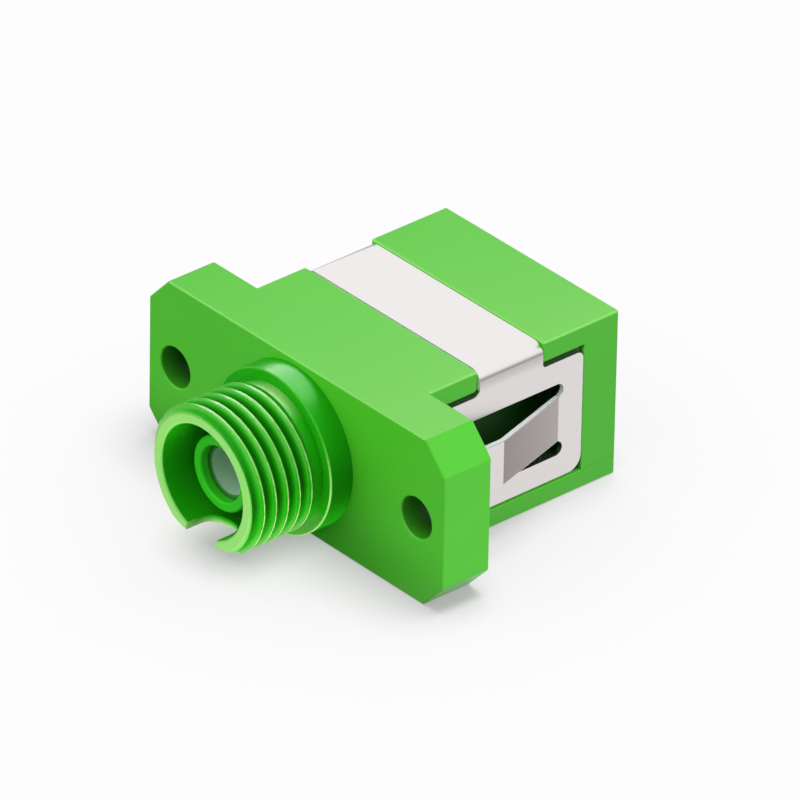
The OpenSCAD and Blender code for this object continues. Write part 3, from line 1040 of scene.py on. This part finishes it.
        # The thread: painted shade in the grooves, patchy painted highlight lines on the crests'
        # rear edges, strongest below and at the sides, and a painted highlight on the rim.
        if middle.y < collar_front - self.neck_l:
            behind_rim = smooth_step(depth / self.rim_l)
            groove = 0.7 * smooth_step((self.thread.crest_r - r - 0.05) / 0.3)
            on_edge = r > self.key_flat_r + 0.3 and self.on_crest_edge(at)
            unevenness = 1 + 0.9 * noise.noise(at * 3.0)
            edge = (0.3 + 1.0 * below + 0.4 * beside) * unevenness if on_edge else 0.0
            toned = groove * (1 - 0.6 * below) - 0.1 - 0.12 * below + 0.15 * beside - edge
            return toned * behind_rim + self.rim_tone * (1 - behind_rim)
        # A painted highlight line along the collar's front edge.
        off_edge = math.hypot(middle.x, middle.z) - self.collar_r
        if math.hypot(off_edge, middle.y - collar_front) < 0.1:
            return -0.05 - 0.5 * max(below, beside)
        # Front faces: painted shade, deeper at the sides, and a painted highlight below.
        if normal.y < -0.5:
            return 0.1 + 0.3 * beside - 0.35 * below
        # The neck: a painted highlight near neck_glint degrees, and painted shade at the sides.
        if r < self.neck_r + 0.1:
            turn = math.degrees(math.atan2(at.z, at.x))
            highlight = math.exp(-((turn - self.neck_glint) / 24.0) ** 2)
            return 0.1 + 0.3 * beside - 0.5 * highlight
        # The collar: painted shade, deeper at its sides.
        return 0.1 + 0.5 * beside

    def on_crest_edge(self, at: Vector) -> bool:
        """Tells whether a point of the thread is at the rear edge of a crest."""
        turn = ((at.y - self.low.y + self.rod_start) / self.thread.pitch
                + math.atan2(at.z, at.x) / math.tau)
        start, end = self.crest_edge
        return start < (turn - math.floor(turn)) - 0.5 < end


@dataclass
class RearHousing:
    """The SC socket's shroud, with the saddle for the clip and a spigot at its front."""

    low: Vector
    high: Vector
    shell: Shell
    socket: Socket
    front_l: float = 3.1
    block_front: float = 7.35
    recess_l: float = 10.03
    column_step: float = 0.03
    saddle_r: float = 0.6
    key_w: float = 2.4
    key_l: float = 4.9
    lead: float = 0.3
    round_r: float = 0.1

    def build(self, finish: bpy.types.Material) -> bpy.types.Object:
        """Models the shroud and dresses it.

        Args:
            finish: The green plastic.

        Returns:
            The piece.
        """
        shell, socket, rear = self.shell, self.socket, self.high.y
        body = Solid.prism(shell.saddle(self.saddle_r), Axis.Y, self.front_l,
                           self.block_front + shell.cut)
        body.combine(Join.ADD, [
            Solid.prism(shell.section(), Axis.Y, self.block_front, self.recess_l),
            Solid.prism(rectangle(shell.width, shell.height), Axis.Y, self.recess_l, rear),
            Solid.prism(rectangle(*socket.spigot), Axis.Y, self.low.y, self.front_l + 0.5)])
        out, half = 0.5, self.key_w / 2
        grow = 2 * (self.lead + out)
        opening = (socket.width, socket.height)
        body.combine(Join.CUT, [
            Solid.prism(rectangle(*opening), Axis.Y, self.low.y - 1.0, rear + 1.0),
            Solid.prism(rectangle(*opening), Axis.Y, rear - self.lead, rear + out,
                        (1 + grow / socket.width, 1 + grow / socket.height)),
            Solid.prism([(-half, -REACH), (half, -REACH), (half, 0.0), (-half, 0.0)], Axis.Y,
                        rear - self.key_l, rear + 1.0),
            socket.window_cut()])
        body.cleaned(0.05).bevelled(self.round_r, lambda m: m.y > self.front_l + NEAR
                                    and not within(m, opening, 0.05))
        body.combine(Join.CUT, shell.side_slabs(shell.width / 2 - self.column_step,
                                                self.recess_l - self.round_r, rear + 1.0))
        body.toned(shell.tone)
        return body.piece("rear_housing_moulding", finish, Slot.GREEN, "rear_housing")


@dataclass
class PanelClip:
    """One folded sheet: a strap over the saddle, two plates and two lanced tongues."""

    low: Vector
    high: Vector
    sheet_t: float = 0.3
    plate_x: float = 6.47
    plate_top: float = 3.27
    strap_front: float = 3.2
    strap_back: float = 7.3
    bend_r: float = 0.4
    corner_r: float = 0.4
    heel_r: float = 0.8
    front_fillet: float = 0.35
    rear_fillet: float = 0.2
    drop: float = 0.07
    tongue_w: float = 2.5
    cut_w: float = 0.78
    cut_end: float = 8.66
    root_setback: float = 0.22
    tongue_run: float = 4.85
    tongue_bend_r: float = 0.3
    panel_t: float = 1.6
    burr: float = 0.035
    # Painted tones: painted dark reflections on the tongues, fading along them, on the bevels and
    # plates and in a line across the bends; painted shade on the edges under the rails and low
    # down; cut edges painted pale.
    tongue_tone: float = 0.8
    tongue_fade: float = 0.16
    bevel_tone: float = 0.45
    upper_edge_tone: float = 0.2
    lower_edge_tone: float = 0.2
    cut_edge_tone: float = -1.0
    sheet_tone: float = 0.17
    foot_tone: float = 0.25
    foot_fade: tuple[float, ...] = (0.2, 0.4, 0.7)

    @property
    def foot(self) -> float:
        """Height at which the bends meet the plates."""
        return self.high.z - self.bend_r - self.sheet_t

    def folded_section(self) -> Solid:
        """Gives the strap, the two bends and the plates, as wide as the plates."""
        def arch(x: float, top: float, bottom: float, r: float) -> list[Point]:
            """Gives an arch that reaches x to both sides, with its upper corners rounded."""
            return rounded([(x, bottom, 0), (x, top, r), (-x, top, r), (-x, bottom, 0)], 16)

        t, bottom, top = self.sheet_t, self.low.z, self.high.z
        outer = Solid.prism(arch(self.plate_x, top, bottom, self.bend_r + t), Axis.Y,
                            self.low.y - 1, self.high.y + 1)
        inner = Solid.prism(arch(self.plate_x - t, top - t, bottom - 1, self.bend_r), Axis.Y,
                            self.low.y - 2, self.high.y + 2)
        return outer.combine(Join.CUT, [inner])

    def side_outline(self) -> Solid:
        """Gives the sheet's outline from the side, with both tongues' cuts out of it."""
        front, back, low, top = self.low.y, self.high.y, self.low.z, self.plate_top
        blank = Solid.prism(rounded([
            (front, low, self.corner_r), (back, low, self.heel_r), (back, top, self.corner_r),
            (self.strap_back, top, self.rear_fillet), (self.strap_back, 6.0, 0),
            (self.strap_front, 6.0, 0), (self.strap_front, top, self.front_fillet),
            (front, top, self.corner_r)], 8), Axis.X, -9.0, 9.0)
        r = self.cut_w / 2
        slot_z, first, last = self.tongue_w / 2 + r, self.panel_t - r, self.cut_end - r
        meets_root = math.degrees(math.acos((r - self.root_setback) / r))
        half = arc((first, -slot_z), r, -180, -90) + arc((last, -slot_z), r, -90, meets_root, 12)
        cuts = Solid.prism(half + [(u, -v) for u, v in reversed(half)], Axis.X, -10.0, 10.0)
        return blank.combine(Join.CUT, [cuts.moved((0, 0, -self.drop))])

    def tongue(self) -> Solid:
        """Gives the right-hand tongue, whose slanted run touches both of its bends."""
        r, outside = self.tongue_bend_r, self.tongue_bend_r + self.sheet_t
        rise = self.high.x - self.plate_x
        both = r + outside
        slope = math.degrees(math.asin(both / math.hypot(self.tongue_run, both - rise))
                             - math.atan2(both - rise, self.tongue_run))
        root = (self.plate_x + r, self.cut_end - self.root_setback)
        kink = (self.high.x - outside, root[1] - self.tongue_run)
        outline = (
            [(self.plate_x, self.cut_end)] + arc(root, r, 180, 180 + slope, 5)
            + arc(kink, outside, slope, 0, 5)
            + [(kink[0] + outside, self.panel_t), (kink[0] + r, self.panel_t)]
            + arc(kink, r, 0, slope, 5) + arc(root, outside, 180 + slope, 180, 5)
            + [(self.plate_x - self.sheet_t, self.cut_end)])
        half = self.tongue_w / 2
        return Solid.prism(outline, Axis.Z, -half - self.drop, half - self.drop)

    def build(self, finish: bpy.types.Material) -> bpy.types.Object:
        """Folds the sheet and dresses it.

        Args:
            finish: The rolled steel.

        Returns:
            The piece.
        """
        sheet = self.folded_section().combine(Join.KEEP_COMMON, [self.side_outline()])
        right = self.tongue()
        left = right.mirrored()
        sheet.combine(Join.ADD, [right, left])
        sheet.cleaned(0.1).bevelled(self.burr, segments=2, sharper_than=50.0)
        sheet.sliced(self.foot - down for down in self.foot_fade).toned(self.tone)
        return sheet.piece("panel_clip_sheet", finish, Slot.STEEL, "panel_clip")

    def tone(self, at: Vector, middle: Vector, normal: Vector) -> float:
        """Paints dark reflections and the shade under the rails onto the sheet, and paints the
        cut edges pale.

        Args:
            at: A corner of a face.
            middle: The face's middle.
            normal: The face's normal.

        Returns:
            The tone, from -1 to 1.
        """
        outward = normal.x * math.copysign(1.0, middle.x)
        on_strap = self.strap_front + NEAR < middle.y < self.strap_back - NEAR
        # Painted dark reflection on the tongues, lighter towards their roots.
        if abs(middle.x) > self.plate_x + 0.02 and outward > 0.9 and normal.y > 0.1:
            along = (at.y - self.panel_t - 2) / self.tongue_run
            return self.tongue_tone - self.tongue_fade * smooth_step(along)
        # Painted dark reflection in a line across each bend, and painted shade towards the
        # plates.
        if on_strap and at.z > self.foot - NEAR:
            across = abs(at.x) - self.plate_x + self.bend_r + self.sheet_t
            lean = math.degrees(math.atan2(at.z - self.foot, across))
            line = math.exp(-((lean - 17.0) / 7.0) ** 2)
            below = math.exp(-(lean / 14.0) ** 2)
            return (0.6 * line + self.foot_tone * below
                    + self.sheet_tone * smooth_step(1 - lean / 40))
        # Painted shade on the plates' upper edges under the rails.
        if normal.z > 0.2 and middle.z > self.plate_top - 0.1:
            return self.upper_edge_tone
        # Painted shade on the bevels of the plates' outer faces.
        if abs(middle.x) > self.plate_x and 0.3 < normal.z < 0.95:
            return self.bevel_tone
        # Cut edges painted pale, and painted shade on those low down.
        if abs(normal.x) < 0.3 and not (on_strap and middle.z > self.plate_top):
            return self.cut_edge_tone if middle.z > -1.0 else self.lower_edge_tone
        # Painted dark reflection on the plates' outer faces, deeper just under the bends.
        if outward > 0.9 and on_strap:
            below = math.exp(-((self.foot - at.z) / 0.3) ** 2)
            return self.sheet_tone + self.foot_tone * below
        return self.sheet_tone if outward > 0.9 else 0.0


@dataclass
class Alignment:
    """The split sleeve and the two holders whose tubes keep it on the optical axis."""

    socket: Socket
    optical_plane: float = -1.5
    sleeve_l: float = 11.4
    sleeve_r: float = 1.6
    sleeve_bore_r: float = 1.25
    slit_w: float = 0.45
    sleeve_float: float = 0.05
    fit: float = 0.05
    fc_tube_r: float = 2.0
    sc_tube_r: float = 2.2
    lip_r: float = 1.45
    lip_t: float = 0.5
    lip_round: float = 0.15
    plate_t: float = 1.1
    arm_l: float = 10.3
    arm_t: float = 0.7
    arm_h: float = 3.5
    arm_gap: float = 0.25
    hook_depth: float = 0.6
    hook_l: float = 1.2
    arm_fillet: float = 0.4

    @property
    def room(self) -> float:
        """Half of the length between the two lips."""
        return self.sleeve_l / 2 + self.sleeve_float

    def holder(self, tube_r: float, side: int) -> Solid:
        """Gives a base plate with its lipped tube.

        Args:
            tube_r: Outer radius of the tube.
            side: -1 for the FC side, 1 for the SC side.

        Returns:
            The holder, bored for the sleeve.
        """
        mid, end = self.optical_plane, self.room + self.lip_t
        soft, seat, mouth = self.lip_round, self.sleeve_r + self.fit, 0.14
        profile = (
            [(seat, 0), (tube_r, 0)] + arc((tube_r - soft, end - soft), soft, 0, 90, 5)
            + arc((self.lip_r + mouth, end - mouth), mouth, 90, 180, 4)
            + [(self.lip_r, self.room), (seat, self.room)])
        tube = Solid.turned([(r, mid + side * y) for r, y in profile])
        plate = Solid.prism(rectangle(*self.socket.spigot, 0.15), Axis.Y,
                            *sorted((mid, mid + side * self.plate_t)))
        plate.combine(Join.CUT, [Solid.bar(seat + 0.2, mid - 3, mid + 3)])
        return plate.combine(Join.ADD, [tube])

    def latch_arm(self) -> Solid:
        """Gives the right-hand latch arm, with its hook and the fillet at its root."""
        outer = self.socket.width / 2 - self.arm_gap
        inner, plate = outer - self.arm_t, self.optical_plane + self.plate_t
        tip, nose = plate + self.arm_l, inner - self.hook_depth
        outline = (
            [(outer, plate - 0.5), (outer, tip - 0.03), (outer - 0.03, tip), (inner, tip),
             (nose, tip - self.hook_l / 2), (nose, tip - self.hook_l), (inner, tip - self.hook_l)]
            + arc((inner - self.arm_fillet, plate + self.arm_fillet), self.arm_fillet, 0, -90)
            + [(inner - self.arm_fillet, plate - 0.5)])
        return Solid.prism(outline, Axis.Z, -self.arm_h / 2, self.arm_h / 2)

    def build(self, tube: bpy.types.Material, insert: bpy.types.Material,
              ceramic: bpy.types.Material) -> None:
        """Models both holders and the sleeve and dresses them.

        Args:
            tube: The plastic of the holder in the FC socket.
            insert: The SC insert's plastic, near black as painted shade inside the side windows.
            ceramic: The sleeve's ceramic.
        """
        front = self.holder(self.fc_tube_r, -1).cleaned(0.05)
        front.piece("fc_holder_moulding", tube, Slot.INNER, "fc_sleeve_holder")
        right = self.latch_arm()
        left = right.mirrored()
        rear = self.holder(self.sc_tube_r, 1).combine(Join.ADD, [right, left])
        rear.cleaned(0.05)
        rear.piece("sc_insert_moulding", insert, Slot.INNER, "sc_latch_insert")
        soft, half = 0.06, self.sleeve_l / 2
        mid, r, bore = self.optical_plane, self.sleeve_r, self.sleeve_bore_r
        profile = (
            arc((r - soft, mid - half + soft), soft, -90, 0, 3)
            + arc((r - soft, mid + half - soft), soft, 0, 90, 3)
            + arc((bore + soft, mid + half - soft), soft, 90, 180, 3)
            + arc((bore + soft, mid - half + soft), soft, 180, 270, 3))
        slit = math.degrees(self.slit_w / (r + bore) * 2)
        sleeve = Solid.turned(profile, 72, 360 - slit, 90 + slit / 2)
        # Painted shade on the sleeve's end faces.
        sleeve.toned(lambda at, middle, normal: smooth_step(abs(normal.y) * 1.6))
        sleeve.piece("split_sleeve_ring", ceramic, Slot.CERAMIC, "split_sleeve")


@dataclass(frozen=True)
class PhotoCamera:
    """A long lens that sees the front, the top and the right side."""

    azimuth: float = 48.51
    elevation: float = 31.35
    roll: float = 1.12
    distance: float = 595.7
    aim: tuple[float, float, float] = (2.532, 1.544, 1.828)
    lens: float = 552.64

    def place(self) -> None:
        """Puts the camera in the scene."""
        a, e, r = (math.radians(v) for v in (self.azimuth, self.elevation, self.roll))
        back = Vector((math.sin(a) * math.cos(e), -math.cos(a) * math.cos(e), math.sin(e)))
        right = Vector((math.cos(a), math.sin(a), 0))
        up = back.cross(right)
        turned_right = right * math.cos(r) + up * math.sin(r)
        turned_up = up * math.cos(r) - right * math.sin(r)
        where = (Vector(self.aim) + back * self.distance) * MM
        data = bpy.data.cameras.new("photo_camera")
        data.lens = self.lens
        data.sensor_width = 36.0
        data.clip_start = 0.05
        camera = linked("photo_camera", data)
        camera.matrix_world = Matrix((turned_right, turned_up, back)).transposed().to_4x4()
        camera.location = where
        bpy.context.scene.camera = camera


@dataclass(frozen=True)
class Studio:
    """A white table with lamps of its own, and soft lamps that light the adapter.

    The adapter is lit from overhead, the front and the right. The barrel also gets the light
    that the table throws back, and the glints of one more lamp.
    """

    world_light: float = 0.5
    table_white: Colour = (0.305, 0.297, 0.305)
    table_bounce: Colour = (0.09, 0.09, 0.09)
    table_glow: float = 0.37
    table_mirrored: float = 0.86
    table_size: float = 2.0
    picture_right: Point = (0.75, 0.66)
    ramp_mm: float = 8.0
    ramp_start: float = 0.25

    def lamp(self, name: str, energy: float, spread: float,
             towards: tuple[float, float, float],
             lit: Sequence[bpy.types.Object],
             blockers: Sequence[bpy.types.Object] = ()) -> bpy.types.Object:
        """Adds a distant soft lamp that doesn't show in glossy surfaces.

        Args:
            name: The lamp's name.
            energy: Its strength.
            spread: The angle that it fills in the sky, in degrees.
            towards: The direction from the object to the lamp.
            lit: The objects that it lights.
            blockers: The objects whose shadows it casts, none for all objects.

        Returns:
            The lamp.
        """
        data = bpy.data.lights.new(name, "SUN")
        data.energy = energy
        data.angle = math.radians(spread)
        lamp = linked(name, data)
        lamp.rotation_euler = Vector(towards).to_track_quat("Z", "Y").to_euler()
        lamp.visible_glossy = False
        for role, things in (("receiver_collection", lit), ("blocker_collection", blockers)):
            if things:
                group = bpy.data.collections.new(f"{name}_{role}")
                for thing in things:
                    group.objects.link(thing)
                setattr(lamp.light_linking, role, group)
        return lamp

    def table(self, height: float) -> bpy.types.Object:
        """Adds the table, which shows white and keeps the shadow, but throws back less light.

        Args:
            height: The height of its top, in metres.

        Returns:
            The table.
        """
        top = Solid()
        bmesh.ops.create_grid(top.mesh, x_segments=1, y_segments=1, size=self.table_size / 2,
                              matrix=Matrix.Translation((0, 0, height)))
        table = top.as_object("table")
        top.mesh.free()
        material, graph = new_material("white_table")
        spot = graph.node("ShaderNodeSeparateXYZ", {}, {0: graph.place()})
        x, y = (Value(graph, spot.outputs[i]) * self.picture_right[i] for i in (0, 1))
        right_half = ((x + y) * (1 / (self.ramp_mm * MM)) - self.ramp_start).held()
        camera, mirrored = graph.ray("Camera"), graph.ray("Glossy") * right_half
        seen = camera + mirrored
        matte = graph.node("ShaderNodeBsdfDiffuse", {}, {
            "Color": graph.blend(self.table_bounce, self.table_white, seen)})
        glow = graph.node("ShaderNodeEmission")
        both = graph.node("ShaderNodeMixShader", {}, {
            0: camera * self.table_glow + mirrored * self.table_mirrored,
            1: matte.outputs[0], 2: glow.outputs[0]})
        graph.node("ShaderNodeOutputMaterial", {}, {"Surface": both.outputs[0]})
        table.data.materials.append(material)
        return table

    def sky(self) -> None:
        """Adds the world: white where it is seen or mirrored, softer where it lights."""
        world = bpy.data.worlds.new("studio")
        bpy.context.scene.world = world
        world.use_nodes = True
        graph = Graph(world.node_tree)
        seen = graph.ray("Camera") + graph.ray("Glossy") + graph.ray("Transmission")
        light = graph.node("ShaderNodeBackground", {}, {
            "Color": (1.0, 1.0, 1.0, 1.0),
            "Strength": seen * (1.0 - self.world_light) + self.world_light})
        graph.node("ShaderNodeOutputWorld", {}, {"Surface": light.outputs[0]})

    def build(self, floor_z: float, pieces: Sequence[bpy.types.Object],
              barrel: bpy.types.Object) -> None:
        """Adds the table with its own lamp, the sky, and the lamps that light the adapter.

        Args:
            floor_z: Height of the table, in metres.
            pieces: Every piece of the adapter.
            barrel: The piece in which one more lamp glints.
        """
        table = self.table(floor_z)
        self.sky()
        shading = [piece for piece in pieces if piece is not barrel]
        self.lamp("table_light", 6.2, 36.0, (0.07, 0.11, 1.0), [table], shading)
        self.lamp("table_haze", 2.5, 110.0, (0.0, 0.0, 1.0), [table])
        self.lamp("overhead", 0.25, 32.0, (-0.22, 0.54, 0.80), pieces)
        self.lamp("front_fill", 2.08, 80.0, (-0.22, -0.87, 0.44), pieces)
        self.lamp("right_fill", 2.35, 50.0, (0.86, 0.42, 0.29), pieces)
        self.lamp("table_bounce", 3.6, 60.0, (0.3, -0.4, -0.87), [barrel], pieces)
        glint = self.lamp("glint", 9.8, 68.0, (-0.38, 0.57, 0.73), [barrel])
        glint.visible_glossy = True
        glint.visible_diffuse = False


def main() -> None:
    """Builds the camera, the studio and every sub-assembly, and reports each piece."""
    logging.basicConfig(level=logging.INFO, format="%(name)s: %(message)s")
    PhotoCamera().place()
    finishes = Finishes.mixed()
    boxes = {node: tuple(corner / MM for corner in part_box(node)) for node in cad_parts}
    low, high = boxes["rear_housing"]
    shell = Shell(width=high.x - low.x, height=high.z - low.z)
    socket = Socket()
    front = FrontHousing(*boxes["front_housing"], shell, socket, Thread())
    barrel = front.build(finishes.green, finishes.polished)
    RearHousing(low, high, shell, socket).build(finishes.green)
    PanelClip(*boxes["panel_clip"]).build(finishes.steel)
    Alignment(socket).build(finishes.tube, finishes.insert, finishes.ceramic)
    pieces = [thing for thing in bpy.context.scene.objects if thing.type == "MESH"]
    Studio().build(cad_bounds[0].z, pieces, barrel)
    bpy.context.scene.view_settings.view_transform = "Standard"


if __name__ == "__main__":
    main()
